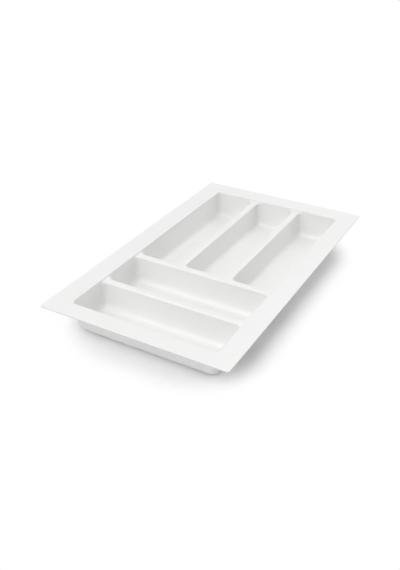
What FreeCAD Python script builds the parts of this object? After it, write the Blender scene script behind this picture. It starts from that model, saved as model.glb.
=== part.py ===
import FreeCAD, Part
import os
import Sketcher

# Driving sizes of the tray, in millimetres and degrees
driving_sizes = {
    "tray_width": 290.0,
    "tray_depth": 490.0,
    "tray_height": 48.0,
    "sheet_thickness": 1.5,
    "flange_corner_radius": 2.5,
    "side_flange_width": 31.0,
    "end_flange_depth": 29.5,
    "rim_roll_radius": 2.2,
    "divider_width": 11.6,
    "divider_drop": 5.0,
    "divider_roll_radius": 2.2,
    "front_well_depth": 71.9,
    "middle_well_depth": 75.0,
    "well_edge_radius": 8.5,
    "draft_angle": 5.0,
    "rim_overhang": 0.05,
    "flare_tip": 0.2,
}

doc = FreeCAD.newDocument("CutleryTray")
sheet = doc.addObject("Spreadsheet::Sheet", "Sizes")
for row, (alias, size) in enumerate(driving_sizes.items(), start=1):
    sheet.set(f"A{row}", alias)
    sheet.set(f"B{row}", str(size))
    sheet.setAlias(f"B{row}", alias)
doc.recompute()

# Levels: the ridges stop below the flange, and the rim and the ridges sit on
# the upper edges of the pans, at the seat level
seat_below_flange = "(Sizes.divider_drop + Sizes.divider_roll_radius)"
seat_level = f"(Sizes.tray_height - {seat_below_flange})"
flange_underside = "(Sizes.tray_height - Sizes.sheet_thickness)"
wall_thickness = "(Sizes.sheet_thickness / cos(Sizes.draft_angle))"

# The opening inside the flange, where the walls would meet the flange without a roll
opening_width = "(Sizes.tray_width - 2 * Sizes.side_flange_width)"
opening_depth = "(Sizes.tray_depth - 2 * Sizes.end_flange_depth)"

# Plan of the walls' inner faces at the seat level
lean = f"({seat_below_flange} * tan(Sizes.draft_angle))"
seat_width = f"({opening_width} - 2 * {lean})"
seat_depth = f"({opening_depth} - 2 * {lean})"
rear_well_width = f"(({seat_width} - 2 * Sizes.divider_width) / 3)"
rear_well_depth = (
    f"({seat_depth} - Sizes.front_well_depth - Sizes.middle_well_depth - 2 * Sizes.divider_width)"
)
front_well_y = f"((Sizes.front_well_depth - {seat_depth}) / 2)"
front_divider_y = f"({front_well_y} + (Sizes.front_well_depth + Sizes.divider_width) / 2)"
middle_well_y = f"({front_divider_y} + (Sizes.divider_width + Sizes.middle_well_depth) / 2)"
cross_divider_y = f"({middle_well_y} + (Sizes.middle_well_depth + Sizes.divider_width) / 2)"
rear_well_y = f"(({seat_depth} - {rear_well_depth}) / 2)"
rear_well_step = f"({rear_well_width} + Sizes.divider_width)"
long_divider_x = f"({rear_well_step} / 2)"

# Plan centre, width and depth of each well at the seat level
wells = {
    "front_well": ("0", front_well_y, seat_width, "Sizes.front_well_depth"),
    "middle_well": ("0", middle_well_y, seat_width, "Sizes.middle_well_depth"),
    "rear_left_well": (f"-{rear_well_step}", rear_well_y, rear_well_width, rear_well_depth),
    "rear_centre_well": ("0", rear_well_y, rear_well_width, rear_well_depth),
    "rear_right_well": (rear_well_step, rear_well_y, rear_well_width, rear_well_depth),
}

# The ridges start as one plate, which reaches past the opening until the rim wall trims it.
# Where a ridge flares into the rim, its share stops at the flare's thin tip
plate_reach = "(4 * Sizes.divider_roll_radius)"
plate_width = f"({seat_width} + 2 * {plate_reach})"
plate_depth = f"({seat_depth} + 2 * {plate_reach})"
flare_cut = "sqrt(Sizes.flare_tip * (2 * Sizes.well_edge_radius - Sizes.flare_tip))"
ridge_share = f"(Sizes.divider_width + 2 * (Sizes.well_edge_radius - {flare_cut}))"
long_ridge_start = f"({cross_divider_y} + {ridge_share} / 2)"
long_ridge_depth = f"({plate_depth} / 2 - {long_ridge_start})"
long_ridge_y = f"({long_ridge_start} + {long_ridge_depth} / 2)"

# Plan centre, width and depth of each ridge's share of that plate
ridges = {
    "front_divider": ("0", front_divider_y, plate_width, ridge_share),
    "cross_divider": ("0", cross_divider_y, plate_width, ridge_share),
    "left_divider": (f"-{long_divider_x}", long_ridge_y, ridge_share, long_ridge_depth),
    "right_divider": (long_divider_x, long_ridge_y, ridge_share, long_ridge_depth),
}

# Plan centre, width and depth of the hollow under each ridge
hollow_width = "(Sizes.divider_width - 2 * Sizes.sheet_thickness)"
hollow_height = "(Sizes.divider_roll_radius - Sizes.sheet_thickness)"
long_hollow_depth = f"({plate_depth} / 2 - {cross_divider_y})"
long_hollow_y = f"({cross_divider_y} + {long_hollow_depth} / 2)"
hollows = {
    "front_hollow": ("0", front_divider_y, plate_width, hollow_width),
    "cross_hollow": ("0", cross_divider_y, plate_width, hollow_width),
    "left_hollow": (f"-{long_divider_x}", long_hollow_y, hollow_width, long_hollow_depth),
    "right_hollow": (long_divider_x, long_hollow_y, hollow_width, long_hollow_depth),
}

# Plan centre, width and depth of each flange strip, from the rim's roll to the outer edge
rim_width = f"({opening_width} + 2 * Sizes.rim_roll_radius)"
rim_depth = f"({opening_depth} + 2 * Sizes.rim_roll_radius)"
side_strip = "(Sizes.side_flange_width - Sizes.rim_roll_radius)"
end_strip = "(Sizes.end_flange_depth - Sizes.rim_roll_radius)"
side_strip_x = f"((Sizes.tray_width - {side_strip}) / 2)"
end_strip_y = f"((Sizes.tray_depth - {end_strip}) / 2)"
flange_strips = {
    "front_flange": ("0", f"-{end_strip_y}", "Sizes.tray_width", end_strip),
    "rear_flange": ("0", end_strip_y, "Sizes.tray_width", end_strip),
    "left_flange": (f"-{side_strip_x}", "0", side_strip, rim_depth),
    "right_flange": (side_strip_x, "0", side_strip, rim_depth),
}

pick_slack = 0.001


def start_body(name):
    body = doc.addObject("PartDesign::Body", name)
    body.Label = name
    return body


def ground_plane(body):
    return next(item for item in body.Origin.OriginFeatures if item.Role == "XY_Plane")


def sketch_rectangle(body, name, x, y, level, width, depth):
    sketch = body.newObject("Sketcher::SketchObject", f"{body.Name}_{name}")
    sketch.AttachmentSupport = [(ground_plane(body), "")]
    sketch.MapMode = "FlatFace"
    for axis, place in zip("xyz", (x, y, level)):
        sketch.setExpression(f"AttachmentOffset.Base.{axis}", place)
    corners = [FreeCAD.Vector(*at) for at in ((-1, -1), (1, -1), (1, 1), (-1, 1))]
    for side in range(4):
        sketch.addGeometry(Part.LineSegment(corners[side], corners[(side + 1) % 4]))
    for side in range(4):
        sketch.addConstraint(Sketcher.Constraint("Coincident", side, 2, (side + 1) % 4, 1))
    for side, direction in enumerate(("Horizontal", "Vertical", "Horizontal", "Vertical")):
        sketch.addConstraint(Sketcher.Constraint(direction, side))
    sketch.addConstraint(Sketcher.Constraint("Symmetric", 0, 1, 2, 1, -1, 1))
    across = sketch.addConstraint(Sketcher.Constraint("DistanceX", 0, 1, 0, 2, 2))
    along = sketch.addConstraint(Sketcher.Constraint("DistanceY", 1, 1, 1, 2, 2))
    sketch.setExpression(f"Constraints[{across}]", width)
    sketch.setExpression(f"Constraints[{along}]", depth)
    doc.recompute()
    return sketch


def add_pad(body, sketch, length, downwards=False):
    pad = body.newObject("PartDesign::Pad", f"{sketch.Name}_pad")
    pad.Profile = sketch
    pad.Reversed = downwards
    pad.setExpression("Length", length)
    doc.recompute()
    return pad


def cut_upwards(body, sketch, length):
    before = body.Shape.Volume
    pocket = body.newObject("PartDesign::Pocket", f"{sketch.Name}_pocket")
    pocket.Profile = sketch
    pocket.Reversed = True
    pocket.setExpression("Length", length)
    doc.recompute()
    if not pocket.Shape.Volume < before:
        raise RuntimeError(f"{pocket.Name} cuts nothing")
    return pocket


def stands(box):
    return box.ZLength > pick_slack


def lies_at(box, level):
    return max(abs(box.ZMin - level), abs(box.ZMax - level)) < pick_slack


def clear_of(box, outline):
    return pick_slack < min(
        box.XMin - outline.XMin, outline.XMax - box.XMax,
        box.YMin - outline.YMin, outline.YMax - box.YMax,
    )


def at_corner(point, reach):
    return max(abs(abs(point.x) - reach.x), abs(abs(point.y) - reach.y)) < pick_slack


def pick_faces(feature, wanted):
    return [f"Face{at}" for at, face in enumerate(feature.Shape.Faces, start=1) if wanted(face.BoundBox)]


def pick_edges(feature, wanted):
    return [f"Edge{at}" for at, edge in enumerate(feature.Shape.Edges, start=1) if wanted(edge.BoundBox)]


def pick_brink(feature, outline):
    # The edges that lie in a rectangle's plane, inside it
    edge = outline.Shape.BoundBox
    return pick_edges(feature, lambda box: lies_at(box, edge.ZMin) and clear_of(box, edge))


def lean_walls(body, base, walls, overhanging):
    # The walls lean by the draft angle about the seat level, where their plan is true
    seat = body.newObject("PartDesign::Plane", f"{base.Name}_seat")
    seat.AttachmentSupport = [(ground_plane(body), "")]
    seat.MapMode = "FlatFace"
    seat.setExpression("AttachmentOffset.Base.z", seat_level)
    draft = body.newObject("PartDesign::Draft", f"{base.Name}_draft")
    draft.Base = (base, walls)
    draft.NeutralPlane = (seat, [""])
    draft.Reversed = overhanging
    draft.setExpression("Angle", "Sizes.draft_angle")
    doc.recompute()
    return draft


def round_edges(body, base, name, edges, radius):
    fillet = body.newObject("PartDesign::Fillet", f"{body.Name}_{name}")
    fillet.Base = (base, edges)
    fillet.setExpression("Radius", radius)
    doc.recompute()
    return fillet


def make_well(name, x, y, width, depth):
    body = start_body(name)
    outline = sketch_rectangle(
        body, "outline", x, y, seat_level,
        f"{width} + 2 * {wall_thickness}", f"{depth} + 2 * {wall_thickness}",
    )
    block = add_pad(body, outline, seat_level, downwards=True)
    block = lean_walls(body, block, pick_faces(block, stands), overhanging=True)
    seat = outline.Placement.Base.z
    lower_edges = pick_edges(block, lambda box: not lies_at(box, seat))
    block = round_edges(body, block, "edges", lower_edges, "Sizes.well_edge_radius + Sizes.sheet_thickness")
    shell = body.newObject("PartDesign::Thickness", f"{name}_shell")
    shell.Base = (block, pick_faces(block, lambda box: lies_at(box, seat)))
    shell.Reversed = True
    shell.setExpression("Value", "Sizes.sheet_thickness")
    doc.recompute()
    return body


def make_ridge_plate():
    body = start_body("ridge_plate")
    outline = sketch_rectangle(body, "outline", "0", "0", seat_level, plate_width, plate_depth)
    plate = add_pad(body, outline, "Sizes.divider_roll_radius")
    top = outline.Placement.Base.z + plate.Length.Value
    for name, (x, y, width, depth) in wells.items():
        mouth = sketch_rectangle(body, name, x, y, seat_level, width, depth)
        plate = cut_upwards(body, mouth, "Sizes.divider_roll_radius")
    edge = outline.Shape.BoundBox
    walls = pick_faces(plate, lambda box: stands(box) and clear_of(box, edge))
    plate = lean_walls(body, plate, walls, overhanging=False)
    corners = pick_edges(plate, lambda box: stands(box) and clear_of(box, edge))
    plate = round_edges(body, plate, "corners", corners, "Sizes.well_edge_radius")
    brinks = pick_edges(plate, lambda box: lies_at(box, top) and clear_of(box, edge))
    plate = round_edges(body, plate, "rolls", brinks, "Sizes.divider_roll_radius")
    for name, (x, y, width, depth) in hollows.items():
        hollow = sketch_rectangle(body, name, x, y, seat_level, width, depth)
        cut_upwards(body, hollow, hollow_height)
    return body


def make_opening_core():
    # The air inside the rim, which widens over the flange along the rim's roll
    body = start_body("opening_core")
    outline = sketch_rectangle(
        body, "outline", "0", "0", seat_level,
        f"{seat_width} - 2 * Sizes.rim_overhang", f"{seat_depth} - 2 * Sizes.rim_overhang",
    )
    core = add_pad(body, outline, seat_below_flange)
    core = lean_walls(body, core, pick_faces(core, stands), overhanging=True)
    core = round_edges(body, core, "corners", pick_edges(core, stands), "Sizes.well_edge_radius")
    over = sketch_rectangle(body, "over", "0", "0", "Sizes.tray_height", rim_width, rim_depth)
    core = add_pad(body, over, "Sizes.rim_roll_radius")
    brink = pick_brink(core, over)
    round_edges(body, core, "roll", brink, "Sizes.rim_roll_radius")
    return body


def make_common(name, base, tool):
    common = doc.addObject("Part::Common", name)
    common.Label = name
    common.Base = base
    common.Tool = tool
    doc.recompute()
    return common


def make_ridge(name, grid, x, y, width, depth):
    share = doc.addObject("Part::Box", f"{name}_share")
    share.setExpression("Length", width)
    share.setExpression("Width", depth)
    share.setExpression("Height", "Sizes.divider_roll_radius")
    share.setExpression("Placement.Base.x", f"{x} - {width} / 2")
    share.setExpression("Placement.Base.y", f"{y} - {depth} / 2")
    share.setExpression("Placement.Base.z", seat_level)
    return make_common(name, grid, share)


def make_rim_collar(core):
    body = start_body("rim_block")
    outside = sketch_rectangle(
        body, "outside", "0", "0", seat_level,
        f"{seat_width} + 2 * {wall_thickness}", f"{seat_depth} + 2 * {wall_thickness}",
    )
    collar = add_pad(body, outside, seat_below_flange)
    collar = lean_walls(body, collar, pick_faces(collar, stands), overhanging=True)
    corners = pick_edges(collar, stands)
    collar = round_edges(body, collar, "corners", corners, "Sizes.well_edge_radius + Sizes.sheet_thickness")
    lip = sketch_rectangle(body, "lip", "0", "0", flange_underside, rim_width, rim_depth)
    collar = add_pad(body, lip, "Sizes.sheet_thickness")
    crease = pick_brink(collar, lip)
    round_edges(body, collar, "crease", crease, "Sizes.rim_roll_radius - Sizes.sheet_thickness")
    cut = doc.addObject("Part::Cut", "rim_collar")
    cut.Label = "rim_collar"
    cut.Base = body
    cut.Tool = core
    doc.recompute()
    return cut


def make_flange_strip(name, x, y, width, depth):
    body = start_body(name)
    outline = sketch_rectangle(body, "outline", x, y, flange_underside, width, depth)
    strip = add_pad(body, outline, "Sizes.sheet_thickness")
    reach = FreeCAD.Vector(sheet.get("tray_width"), sheet.get("tray_depth"), 0) / 2
    corners = pick_edges(strip, lambda box: stands(box) and at_corner(box.Center, reach))
    if corners:
        round_edges(body, strip, "corners", corners, "Sizes.flange_corner_radius")
    return body


subparts = [make_flange_strip(name, *plan) for name, plan in flange_strips.items()]
opening_core = make_opening_core()
subparts.append(make_rim_collar(opening_core))
ridge_grid = make_common("ridge_grid", make_ridge_plate(), opening_core)
subparts += [make_ridge(name, ridge_grid, *plan) for name, plan in ridges.items()]
subparts += [make_well(name, *plan) for name, plan in wells.items()]

failed = [item.Name for item in doc.Objects if {"Invalid", "Error"} & set(item.State)]
unsound = [item.Label for item in subparts if item.Shape.isNull() or not item.Shape.isValid()]
if failed or unsound:
    raise RuntimeError(f"failed objects {failed}, unsound shapes {unsound}")

os.makedirs("parts", exist_ok=True)
for item in subparts:
    item.Shape.exportStep(f"parts/{item.Label}.step")
    print(f"{item.Label}: {item.Shape.Volume / 1000:.2f} cm3, {len(item.Shape.Solids)} solid")
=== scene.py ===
from math import cos, radians, tan

import bmesh
import bpy
from mathutils import Matrix, Vector


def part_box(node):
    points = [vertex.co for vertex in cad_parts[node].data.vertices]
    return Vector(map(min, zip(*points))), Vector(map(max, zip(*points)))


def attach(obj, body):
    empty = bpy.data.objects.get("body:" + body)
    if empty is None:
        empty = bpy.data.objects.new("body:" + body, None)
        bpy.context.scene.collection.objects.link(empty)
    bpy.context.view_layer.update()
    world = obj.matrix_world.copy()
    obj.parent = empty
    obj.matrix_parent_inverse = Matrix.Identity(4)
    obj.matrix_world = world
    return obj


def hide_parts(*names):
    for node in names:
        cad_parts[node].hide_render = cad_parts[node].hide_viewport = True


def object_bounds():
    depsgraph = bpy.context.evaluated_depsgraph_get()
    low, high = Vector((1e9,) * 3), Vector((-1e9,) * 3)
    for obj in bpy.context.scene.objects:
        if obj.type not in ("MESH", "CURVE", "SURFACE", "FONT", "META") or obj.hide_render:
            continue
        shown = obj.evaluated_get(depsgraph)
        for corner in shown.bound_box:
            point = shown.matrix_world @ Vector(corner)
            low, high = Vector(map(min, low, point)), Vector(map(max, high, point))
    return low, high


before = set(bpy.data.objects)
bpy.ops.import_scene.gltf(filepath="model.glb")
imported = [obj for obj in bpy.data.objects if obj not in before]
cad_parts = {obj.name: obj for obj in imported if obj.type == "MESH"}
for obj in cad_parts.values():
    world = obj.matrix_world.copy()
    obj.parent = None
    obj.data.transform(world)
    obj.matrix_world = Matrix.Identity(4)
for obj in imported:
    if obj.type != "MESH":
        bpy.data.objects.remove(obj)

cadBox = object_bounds()
scene = bpy.context.scene
hair = 1e-5  # two places nearer than this are the same


# Sheet: the lean and the roundings that forming leaves, in metres
sheet = {
    "draft": 5.0,  # lean of the walls, in degrees
    "rimRoll": 0.0022,
    "ridgeRoll": 0.0022,
    "wellRound": 0.0085,  # round the floors of the wells and at all upright corners
    "cornerRound": 0.0025,  # the flange's four outer corners
    "cornerSteps": 6,
    "trimBreak": 0.00025,  # the flange's cut edge is broken by this much
    "trimSteps": 2,
    "ridgeInset": 0.003,  # a ridge's own zone stops this far short of the rim wall
    "levels": 2,  # of smoothing
}
cageShare = 0.6  # a cage cut back by this share of a radius smooths to that radius
holdShare = 0.85  # a loop this share of the radius further on keeps the rest flat
coveShares = (0.73, 0.27)  # a cove has one more loop: the shares for its ends and for its middle
squareTurn = radians(60)  # an edge that turns further than this is cut square
sharpTurn = radians(30)  # beyond this turn the shading isn't smoothed over

wellNodes = ("front_well", "middle_well", "rear_left_well", "rear_centre_well", "rear_right_well")
dividerNodes = ("front_divider", "cross_divider", "left_divider", "right_divider")

# Levels and outlines, read from the frame
boxes = {node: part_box(node) for node in sorted(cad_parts)}
rimHigh = boxes["rim_collar"][1]
seatLevel = boxes["rim_collar"][0].z
flangeLow, flangeHigh = boxes["left_flange"]
flangeTop = flangeHigh.z
thickness = flangeTop - flangeLow.z
ridgeTop = boxes["front_divider"][1].z
floorLevel = cadBox[0].z + thickness
draft = radians(sheet["draft"])
lean = tan(draft)
wallWidth = thickness / cos(draft)
rimStep = cageShare * sheet["rimRoll"]
ridgeStep = cageShare * sheet["ridgeRoll"]
roundStep = cageShare * sheet["wellRound"]
rimHold = holdShare * sheet["rimRoll"]
ridgeHold = holdShare * sheet["ridgeRoll"]
roundHold = holdShare * sheet["wellRound"]
coveEnd, coveMiddle = [share * sheet["wellRound"] for share in coveShares]
openingHalf = [side - sheet["rimRoll"] for side in rimHigh.xy]
seatHalf = [side - (flangeTop - seatLevel) * lean for side in openingHalf]
rimLoop = [side + rimStep for side in openingHalf]
ridgeEnd = [side - sheet["ridgeInset"] for side in seatHalf]


def onRim(side, axis):
    return abs(abs(side) - seatHalf[axis]) < sheet["ridgeRoll"]


def mouthSides(node, rimSide):
    # Left, right, front and rear of a well's mouth; rimSide gives a side that is on the rim
    low, high = boxes[node]
    rise = (ridgeTop - seatLevel) * lean
    sides = []
    for axis in (0, 1):
        for end, sign in ((low[axis], -1), (high[axis], 1)):
            inner = end - sign * wallWidth
            atRidge = inner + sign * (rise + ridgeStep)
            sides.append(sign * rimSide[axis] if onRim(inner, axis) else atRidge)
    return sides


def within(point, sides, cut):
    # Inside a rectangle whose corners are cut off
    left, right, front, rear = sides
    across = min(point.x - left, right - point.x)
    along = min(point.y - front, rear - point.y)
    return across > 0 and along > 0 and across + along > cut


def cageLines(axis, mouths):
    # Where the flat sheet is cut along one axis, so that each rounding has its loops
    lines = {sign * (rimLoop[axis] + rimHold) for sign in (-1, 1)}
    for sides in mouths:
        low, high = sides[2 * axis:2 * axis + 2]
        for side, inwards in ((low, 1), (high, -1)):
            lines.update((side, side + inwards * roundStep, side + inwards * (roundStep + roundHold)))
            if abs(side) < rimLoop[axis] - hair:
                lines.add(side - inwards * ridgeHold)
    return sorted({round(line, 7) for line in lines})


def cutAcross(bm, axis, place, faces):
    normal = Vector((0, 0, 0))
    normal[axis] = 1
    edges = {edge for face in faces for edge in face.edges}
    verts = {vert for face in faces for vert in face.verts}
    geom = [*verts, *edges, *faces]
    bmesh.ops.bisect_plane(bm, geom=geom, dist=hair / 10, plane_co=normal * place, plane_no=normal)


def vertAt(bm, x, y):
    return min(bm.verts, key=lambda vert: (vert.co.xy - Vector((x, y))).length)


def sink(bm, faces, level, draws, bands):
    # Sinks a region to a level and draws its left, right, front and rear sides in
    edges = list({edge for face in faces for edge in face.edges})
    made = bmesh.ops.extrude_face_region(bm, geom=faces + edges)["geom"]
    verts = [item for item in made if isinstance(item, bmesh.types.BMVert)]
    for vert in verts:
        vert.co.z = level
    moves = []
    for side, (axis, inwards) in enumerate(((0, 1), (0, -1), (1, 1), (1, -1))):
        step = Vector((0, 0, 0))
        step[axis] = inwards * draws[side]
        moves.append((step, [vert for vert in verts if (bands[side] - vert.co[axis]) * inwards > 0]))
    for step, moved in moves:
        bmesh.ops.translate(bm, verts=moved, vec=step)
    return [item for item in made if isinstance(item, bmesh.types.BMFace)]


def sinkOpening(bm):
    # The rim: a rolled edge, then the short wall down to the ridges
    loop = [-rimLoop[0], rimLoop[0], -rimLoop[1], rimLoop[1]]
    faces = [face for face in bm.faces if within(face.calc_center_median(), loop, roundStep)]
    drawn = 0.0
    for level in (flangeTop - rimStep, ridgeTop):
        target = rimStep + (flangeTop - level) * lean
        reach = [side - drawn - roundStep - hair for side in rimLoop]
        bands = (-reach[0], reach[0], -reach[1], reach[1])
        faces = sink(bm, faces, level, [target - drawn] * 4, bands)
        drawn = target
    return [side - drawn for side in rimLoop]


def sinkWell(bm, sides):
    # A pan: the rolled edges of the ridges, leaning walls, a cove and a floor
    atTop = [face for face in bm.faces if abs(face.calc_center_median().z - ridgeTop) < hair]
    faces = [face for face in atTop if within(face.calc_center_median(), sides, roundStep)]
    middleX, middleY = (sides[0] + sides[1]) / 2, (sides[2] + sides[3]) / 2
    level = ridgeTop
    steps = (
        # level, draw at a ridge, draw all round
        (ridgeTop - ridgeStep, ridgeStep, 0.0),
        (ridgeTop - ridgeStep - ridgeHold, 0.0, 0.0),
        (floorLevel + coveEnd + roundHold, 0.0, 0.0),
        (floorLevel + coveEnd, 0.0, 0.0),
        (floorLevel + coveMiddle, 0.0, coveMiddle),
        (floorLevel, 0.0, coveEnd - coveMiddle),
    )
    for lower, ridgeDraw, coveDraw in steps:
        draws = [(level - lower) * lean + coveDraw] * 4
        for at, side in enumerate(sides):
            if not onRim(side, at // 2):
                draws[at] += ridgeDraw
        faces = sink(bm, faces, lower, draws, (middleX, middleX, middleY, middleY))
        level = lower


def makeCage():
    # A flat sheet, cut into strips, then sunk step by step into the opening and the wells
    bm = bmesh.new()
    bmesh.ops.create_grid(bm, x_segments=1, y_segments=1, size=1)
    bmesh.ops.scale(bm, verts=bm.verts, vec=(cadBox[1].x, cadBox[1].y, 1))
    bmesh.ops.translate(bm, verts=bm.verts, vec=(0, 0, flangeTop))
    mouths = [mouthSides(node, rimLoop) for node in wellNodes]
    for axis in (0, 1):
        for line in cageLines(axis, mouths):
            cutAcross(bm, axis, line, bm.faces[:])
    for left, right, front, rear in mouths:
        for x, inX in ((left, roundStep), (right, -roundStep)):
            for y, inY in ((front, roundStep), (rear, -roundStep)):
                bmesh.ops.connect_verts(bm, verts=[vertAt(bm, x, y + inY), vertAt(bm, x + inX, y)])
    rimWall = sinkOpening(bm)
    for node in wellNodes:
        sinkWell(bm, mouthSides(node, rimWall))
    return bm


def makeSkin():
    # The upper face of the sheet: the cage smoothed, with the flange's corners rounded
    cage = makeCage()
    print("cage", len(cage.faces), "faces")
    mesh = bpy.data.meshes.new("cage")
    cage.to_mesh(mesh)
    cage.free()
    cageObject = bpy.data.objects.new("cage", mesh)
    scene.collection.objects.link(cageObject)
    smooth = cageObject.modifiers.new("smooth", "SUBSURF")
    smooth.levels = sheet["levels"]
    smooth.render_levels = sheet["levels"]
    smooth.boundary_smooth = "PRESERVE_CORNERS"
    skin = bmesh.new()
    skin.from_object(cageObject, bpy.context.evaluated_depsgraph_get())
    bpy.data.objects.remove(cageObject)
    corners = [vert for vert in skin.verts if len(vert.link_faces) == 1]
    bmesh.ops.bevel(
        skin, geom=corners, offset=sheet["cornerRound"], offset_type="OFFSET",
        affect="VERTICES", segments=sheet["cornerSteps"], profile=0.5, material=-1,
    )
    return skin


def zoneOf(point):
    # The node whose place this point of the sheet is in
    if abs(point.y) > rimHigh.y:
        return "rear_flange" if point.y > 0 else "front_flange"
    if abs(point.x) > rimHigh.x:
        return "right_flange" if point.x > 0 else "left_flange"
    if point.z < seatLevel:
        for node in wellNodes:
            low, high = boxes[node]
            if low.x < point.x < high.x and low.y < point.y < high.y:
                return node
    if abs(point.x) > ridgeEnd[0] or abs(point.y) > ridgeEnd[1]:
        return "rim_collar"
    if point.y < boxes["middle_well"][0].y + wallWidth:
        return "front_divider"
    if point.y < boxes["cross_divider"][1].y:
        return "cross_divider"
    return "right_divider" if point.x > 0 else "left_divider"


def curveAt(vert):
    # How sharply the skin turns here: above 0 on a roll, below 0 in a cove
    turns = []
    for edge in vert.link_edges:
        other = edge.other_vert(vert)
        reach = other.co - vert.co
        turns.append((other.normal - vert.normal).dot(reach) / reach.length_squared)
    return sum(turns) / len(turns) * sheet["ridgeRoll"]


def markSkin(bm):
    # Keeps the whole skin's normals, curve and outer edge on its points, before the zones are cut
    bm.normal_update()
    normals = bm.verts.layers.float_vector.new("skinNormal")
    curves = bm.verts.layers.float.new("curve")
    trims = bm.verts.layers.int.new("trim")
    for vert in bm.verts:
        vert[normals] = vert.normal
        vert[curves] = curveAt(vert)
        vert[trims] = vert.is_boundary


def cutZones(bm):
    # Cuts the skin along the borders of the zones
    def upperFaces():
        upper = ("rim_collar", *dividerNodes)
        return [face for face in bm.faces if zoneOf(face.calc_center_median()) in upper]

    for sign in (-1, 1):
        cutAcross(bm, 1, sign * rimHigh.y, bm.faces[:])
        between = [face for face in bm.faces if abs(face.calc_center_median().y) < rimHigh.y]
        cutAcross(bm, 0, sign * rimHigh.x, between)
    cutAcross(bm, 2, seatLevel, bm.faces[:])
    for sign in (-1, 1):
        for axis in (1, 0):
            cutAcross(bm, axis, sign * ridgeEnd[axis], upperFaces())
    cutAcross(bm, 1, boxes["cross_divider"][1].y, upperFaces())


def thicken(bm):
    # The sheet's underside: the skin again, one thickness further in
    normals = bm.verts.layers.float_vector["skinNormal"]
    curves = bm.verts.layers.float["curve"]
    skinFaces = bm.faces[:]
    made = bmesh.ops.extrude_face_region(bm, geom=skinFaces + bm.edges[:], use_keep_orig=True)["geom"]
    for vert in made:
        if isinstance(vert, bmesh.types.BMVert):
            vert.co -= vert[normals] * thickness
            vert[curves] *= -1
    bmesh.ops.recalc_face_normals(bm, faces=bm.faces)


def breakTrim(bm):
    # The flange's outer edge is cut square, with its two arrises broken
    trims = bm.verts.layers.int["trim"]
    cuts = bm.faces.layers.float.new("cut")
    for face in bm.faces:
        if all(vert[trims] for vert in face.verts) and abs(face.normal.z) < cos(squareTurn):
            face[cuts] = 1.0
    arrises = []
    for edge in bm.edges:
        level = abs(edge.verts[0].co.z - edge.verts[1].co.z) < hair
        if level and all(vert[trims] for vert in edge.verts) and edge.calc_face_angle() > squareTurn:
            arrises.append(edge)
    bmesh.ops.bevel(
        bm, geom=arrises, offset=sheet["trimBreak"], offset_type="OFFSET",
        affect="EDGES", segments=sheet["trimSteps"], profile=0.5, material=-1,
    )


def shadeAsOneSheet(mesh):
    # Both faces take the whole skin's normals, so that no border between zones shows
    mesh.set_sharp_from_angle(angle=sharpTurn)
    normals = [corner.vector.copy() for corner in mesh.corner_normals]
    skinNormals = mesh.attributes["skinNormal"].data
    for face in mesh.polygons:
        for corner in face.loop_indices:
            across = skinNormals[mesh.loops[corner].vertex_index].vector.normalized()
            facing = face.normal.dot(across)
            if abs(facing) > cos(sharpTurn):
                normals[corner] = across if facing > 0 else -across
    mesh.normals_split_custom_set(normals)
    mesh.attributes.remove(mesh.attributes["skinNormal"])


def makeZone(skin, node, finish):
    # One zone of the sheet as a closed piece, which stands for its node
    bm = skin.copy()
    others = [face for face in bm.faces if zoneOf(face.calc_center_median()) != node]
    bmesh.ops.delete(bm, geom=others, context="FACES")
    thicken(bm)
    if node.endswith("flange"):
        breakTrim(bm)
    for face in bm.faces:
        face.smooth = True
    mesh = bpy.data.meshes.new(f"{node}_sheet")
    bm.to_mesh(mesh)
    bm.free()
    shadeAsOneSheet(mesh)
    mesh.materials.append(finish)
    piece = bpy.data.objects.new(f"{node}_sheet", mesh)
    scene.collection.objects.link(piece)
    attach(piece, "root")
    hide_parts(node)
    return piece


# Finish: white satin plastic with a fine grain, with a painted highlight on the rolls and painted shade
# in the coves and on the cut edge
satin = {
    "white": (0.88, 0.88, 0.875, 1),
    "cloudy": (0.855, 0.855, 0.848, 1),
    # painted highlight: the rolls' lighter colour
    "paintedRollHighlight": (0.91, 0.91, 0.905, 1),
    # painted shade: the coves' darker colour
    "paintedCoveShade": (0.85, 0.848, 0.842, 1),
    # painted shade: the cut edge's darker colour
    "paintedEdgeShade": (0.72, 0.72, 0.715, 1),  # the flange's cut edge
    # noises: turns per metre and detail
    "clouds": (18.0, 3.0),
    "patches": (42.5, 4.0),
    "peel": (170.0, 2.0),
    "grain": (1400.0, 2.0),
    "drawScale": (45.0, 900.0, 45.0),  # faint lines along the width, from the rolled sheet
    "drawDetail": 3.0,
    # where a tint sets in and is full, and its greatest share
    "cloudTint": (0.35, 0.65, 0.6),
    "drawTint": (0.45, 0.75, 0.5),
    "paintedRollHighlightTint": (0.1, 0.5, 0.7),
    "paintedCoveShadeTint": (-0.05, -0.3, 0.4),
    "patchRange": (0.3, 0.7),  # of the patches that go from smoothest to roughest
    "smoothest": 0.3,
    "roughest": 0.4,
    "rollSmoother": -0.02,
    "sawnRougher": 0.25,
    "peelDepth": 0.00004,
    "grainDepth": 0.00002,
    "ior": 1.55,
}


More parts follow.
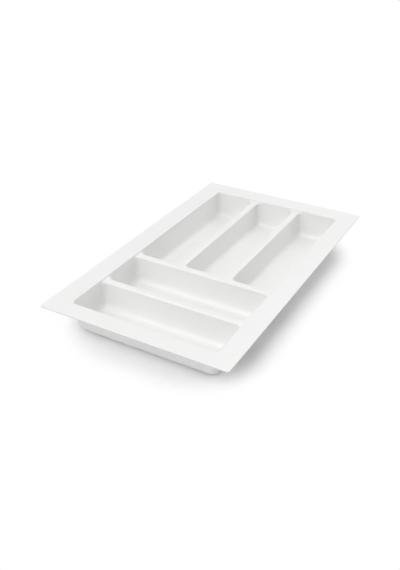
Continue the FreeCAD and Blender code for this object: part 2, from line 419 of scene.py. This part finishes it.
def makeSatin():
    material = bpy.data.materials.new("white_satin_sheet")
    material.use_nodes = True
    nodes = material.node_tree.nodes
    links = material.node_tree.links
    shader = nodes["Principled BSDF"]
    shader.inputs["IOR"].default_value = satin["ior"]
    place = nodes.new("ShaderNodeTexCoord")

    def noise(scale, detail, vector=place.outputs["Object"]):
        texture = nodes.new("ShaderNodeTexNoise")
        texture.inputs["Scale"].default_value = scale
        texture.inputs["Detail"].default_value = detail
        links.new(vector, texture.inputs["Vector"])
        return texture.outputs["Fac"]

    def mapRange(value, start, end, atEnd, atStart=0.0):
        node = nodes.new("ShaderNodeMapRange")
        node.inputs["From Min"].default_value = start
        node.inputs["From Max"].default_value = end
        node.inputs["To Min"].default_value = atStart
        node.inputs["To Max"].default_value = atEnd
        links.new(value, node.inputs["Value"])
        return node.outputs["Result"]

    def mixColour(share, first, second):
        node = nodes.new("ShaderNodeMix")
        node.data_type = "RGBA"
        links.new(share, node.inputs["Factor"])
        for socket, colour in ((node.inputs[6], first), (node.inputs[7], second)):  # its colour sockets
            if isinstance(colour, tuple):
                socket.default_value = colour
            else:
                links.new(colour, socket)
        return node.outputs[2]

    # Lines left by rolling the sheet, under a broad cloudiness
    stretch = nodes.new("ShaderNodeMapping")
    stretch.inputs["Scale"].default_value = satin["drawScale"]
    links.new(place.outputs["Object"], stretch.inputs["Vector"])
    drawLines = noise(1.0, satin["drawDetail"], stretch.outputs["Vector"])
    clouds = noise(*satin["clouds"])
    colour = mixColour(mapRange(clouds, *satin["cloudTint"]), satin["white"], satin["cloudy"])
    colour = mixColour(mapRange(drawLines, *satin["drawTint"]), colour, satin["cloudy"])

    # Rolls are made lighter as a painted highlight, coves darker as painted shade
    curve = nodes.new("ShaderNodeAttribute")
    curve.attribute_name = "curve"
    paintedRollHighlight = mapRange(curve.outputs["Fac"], *satin["paintedRollHighlightTint"])
    paintedCoveShade = mapRange(curve.outputs["Fac"], *satin["paintedCoveShadeTint"])
    colour = mixColour(paintedRollHighlight, colour, satin["paintedRollHighlight"])
    colour = mixColour(paintedCoveShade, colour, satin["paintedCoveShade"])
    # The cut edge is made darker as painted shade
    cut = nodes.new("ShaderNodeAttribute")
    cut.attribute_name = "cut"
    colour = mixColour(cut.outputs["Fac"], colour, satin["paintedEdgeShade"])
    links.new(colour, shader.inputs["Base Color"])

    # Gloss varies in patches; the rolls shine more and the cut edge less
    patches = noise(*satin["patches"])
    rough = mapRange(patches, *satin["patchRange"], satin["roughest"], satin["smoothest"])
    for share, change in (
        (paintedRollHighlight, satin["rollSmoother"]),
        (cut.outputs["Fac"], satin["sawnRougher"]),
    ):
        shift = nodes.new("ShaderNodeMath")
        shift.operation = "MULTIPLY_ADD"
        links.new(share, shift.inputs[0])
        shift.inputs[1].default_value = change
        links.new(rough, shift.inputs[2])
        rough = shift.outputs[0]
    links.new(rough, shader.inputs["Roughness"])

    # A soft peel with a fine grain over it
    normal = None
    for height, depth in (
        (noise(*satin["peel"]), satin["peelDepth"]),
        (noise(*satin["grain"]), satin["grainDepth"]),
    ):
        bump = nodes.new("ShaderNodeBump")
        bump.inputs["Distance"].default_value = depth
        bump.inputs["Strength"].default_value = 1.0
        links.new(height, bump.inputs["Height"])
        if normal:
            links.new(normal, bump.inputs["Normal"])
        normal = bump.outputs["Normal"]
    links.new(normal, shader.inputs["Normal"])
    return material


skin = makeSkin()
print("skin", len(skin.verts), "points", len(skin.faces), "faces")
markSkin(skin)
cutZones(skin)
trayFinish = makeSatin()
for node in boxes:
    piece = makeZone(skin, node, trayFinish)
    print(piece.name, len(piece.data.polygons), "faces")
skin.free()


# Studio: a pale floor, soft lamps and a white surround
studio = {
    "floorReach": 6.0,
    "floorGap": 0.00005,  # keeps the floor from lying in one plane with the tray's underside
    "floorWhite": (0.92, 0.92, 0.92, 1),
    "whiteInset": 0.027,  # this far inside the flange's outline the floor starts to turn plain white
    "whiteReach": 0.05,  # and this far on it is white
    "whiteRound": 0.08,  # the corners of that outline are rounded by this
    "whiteShift": (0.005, -0.0055, 0),  # and its middle is off the tray's by this
    "worldLevel": 0.333,
    "lampSpread": 0.55,  # a lamp's side as a share of its distance
    "lamps": {
        # name: turn about the tray from its front and height in degrees, distance, power in watts
        "top": (0, 90, 1.8, 4.4),
        "front": (0, 52, 3.6, 25.2),
        "lowFront": (0, 40, 1.2, 1.65),
        "rear": (180, 52, 1.8, 4.6),
        "lowRearRight": (140, 22, 1.8, 6.95),
        "frontLeft": (315, 52, 3.6, 15.4),
        "lowFrontLeft": (315, 28, 3.6, 13.0),
    },
}


def seenRays(nodes, links):
    # 1 where the surround is seen, directly or in gloss or glass, and 0 where it is only light
    rays = nodes.new("ShaderNodeLightPath")
    seen = rays.outputs["Is Camera Ray"]
    for other in ("Is Glossy Ray", "Is Transmission Ray"):
        either = nodes.new("ShaderNodeMath")
        either.operation = "MAXIMUM"
        links.new(seen, either.inputs[0])
        links.new(rays.outputs[other], either.inputs[1])
        seen = either.outputs[0]
    return seen


def makeFloor():
    bm = bmesh.new()
    bmesh.ops.create_grid(bm, x_segments=1, y_segments=1, size=studio["floorReach"])
    bmesh.ops.translate(bm, verts=bm.verts, vec=(0, 0, cadBox[0].z - studio["floorGap"]))
    mesh = bpy.data.meshes.new("floor")
    bm.to_mesh(mesh)
    bm.free()
    paint = bpy.data.materials.new("floor_white")
    paint.use_nodes = True
    nodes = paint.node_tree.nodes
    links = paint.node_tree.links
    shader = nodes["Principled BSDF"]
    shader.inputs["Base Color"].default_value = studio["floorWhite"]
    shader.inputs["Roughness"].default_value = 1.0
    shader.inputs["Specular IOR Level"].default_value = 0.0
    # Where it is seen, the floor goes over into a plain white surround
    place = nodes.new("ShaderNodeTexCoord")
    outside = place.outputs["Object"]
    inset = studio["whiteInset"] + studio["whiteRound"]
    for operation, second in (
        ("SUBTRACT", studio["whiteShift"]),
        ("ABSOLUTE", None),
        ("SUBTRACT", (cadBox[1].x - inset, cadBox[1].y - inset, 0)),
        ("MAXIMUM", (0, 0, 0)),
        ("LENGTH", None),
    ):
        step = nodes.new("ShaderNodeVectorMath")
        step.operation = operation
        links.new(outside, step.inputs[0])
        if second:
            step.inputs[1].default_value = second
        outside = step.outputs["Value" if operation == "LENGTH" else "Vector"]
    fade = nodes.new("ShaderNodeMapRange")
    fade.interpolation_type = "SMOOTHSTEP"
    fade.inputs["From Min"].default_value = studio["whiteRound"]
    fade.inputs["From Max"].default_value = studio["whiteRound"] + studio["whiteReach"]
    links.new(outside, fade.inputs["Value"])
    share = nodes.new("ShaderNodeMath")
    share.operation = "MULTIPLY"
    links.new(fade.outputs["Result"], share.inputs[0])
    links.new(seenRays(nodes, links), share.inputs[1])
    white = nodes.new("ShaderNodeEmission")
    white.inputs["Color"].default_value = (1, 1, 1, 1)
    mix = nodes.new("ShaderNodeMixShader")
    links.new(share.outputs[0], mix.inputs["Fac"])
    links.new(shader.outputs[0], mix.inputs[1])
    links.new(white.outputs[0], mix.inputs[2])
    links.new(mix.outputs[0], nodes["Material Output"].inputs["Surface"])
    mesh.materials.append(paint)
    floor = bpy.data.objects.new("floor", mesh)
    scene.collection.objects.link(floor)


def makeLamps():
    for name, (turn, height, distance, power) in studio["lamps"].items():
        lamp = bpy.data.lights.new(name, "AREA")
        lamp.shape = "SQUARE"
        lamp.size = studio["lampSpread"] * distance
        lamp.energy = power
        holder = bpy.data.objects.new(name, lamp)
        holder.matrix_world = (
            Matrix.Rotation(radians(turn), 4, "Z")
            @ Matrix.Rotation(radians(90 - height), 4, "X")
            @ Matrix.Translation((0, 0, distance))
        )
        scene.collection.objects.link(holder)


def makeWorld():
    # Where it is seen, the surround is white; as light it has its own level
    world = bpy.data.worlds.new("surround")
    world.use_nodes = True
    nodes = world.node_tree.nodes
    links = world.node_tree.links
    background = nodes["Background"]
    background.inputs["Color"].default_value = (1, 1, 1, 1)
    level = nodes.new("ShaderNodeMapRange")
    level.inputs["To Min"].default_value = studio["worldLevel"]
    level.inputs["To Max"].default_value = 1.0
    links.new(seenRays(nodes, links), level.inputs["Value"])
    links.new(level.outputs["Result"], background.inputs["Strength"])
    scene.world = world


# Camera: the photograph's view, turned about the flange's middle
view = {
    "azimuth": 29.177,  # angles in degrees
    "elevation": 31.604,
    "roll": 0.354,
    "distance": 1.0628,  # lengths in metres
    "across": -0.0279,
    "up": -0.04505,
    "lens": 43.57,  # lens and sensor in millimetres
    "sensorWidth": 36.0,
}


def makeCamera():
    lens = bpy.data.cameras.new("view")
    lens.sensor_width = view["sensorWidth"]
    lens.lens = view["lens"]
    camera = bpy.data.objects.new("view", lens)
    camera.matrix_world = (
        Matrix.Translation((0, 0, flangeTop))
        @ Matrix.Rotation(radians(view["azimuth"]), 4, "Z")
        @ Matrix.Rotation(radians(90 - view["elevation"]), 4, "X")
        @ Matrix.Rotation(radians(view["roll"]), 4, "Z")
        @ Matrix.Translation((view["across"], view["up"], view["distance"]))
    )
    scene.collection.objects.link(camera)
    scene.camera = camera


makeFloor()
makeLamps()
makeWorld()
makeCamera()
scene.view_settings.view_transform = "Standard"
print("studio ready")
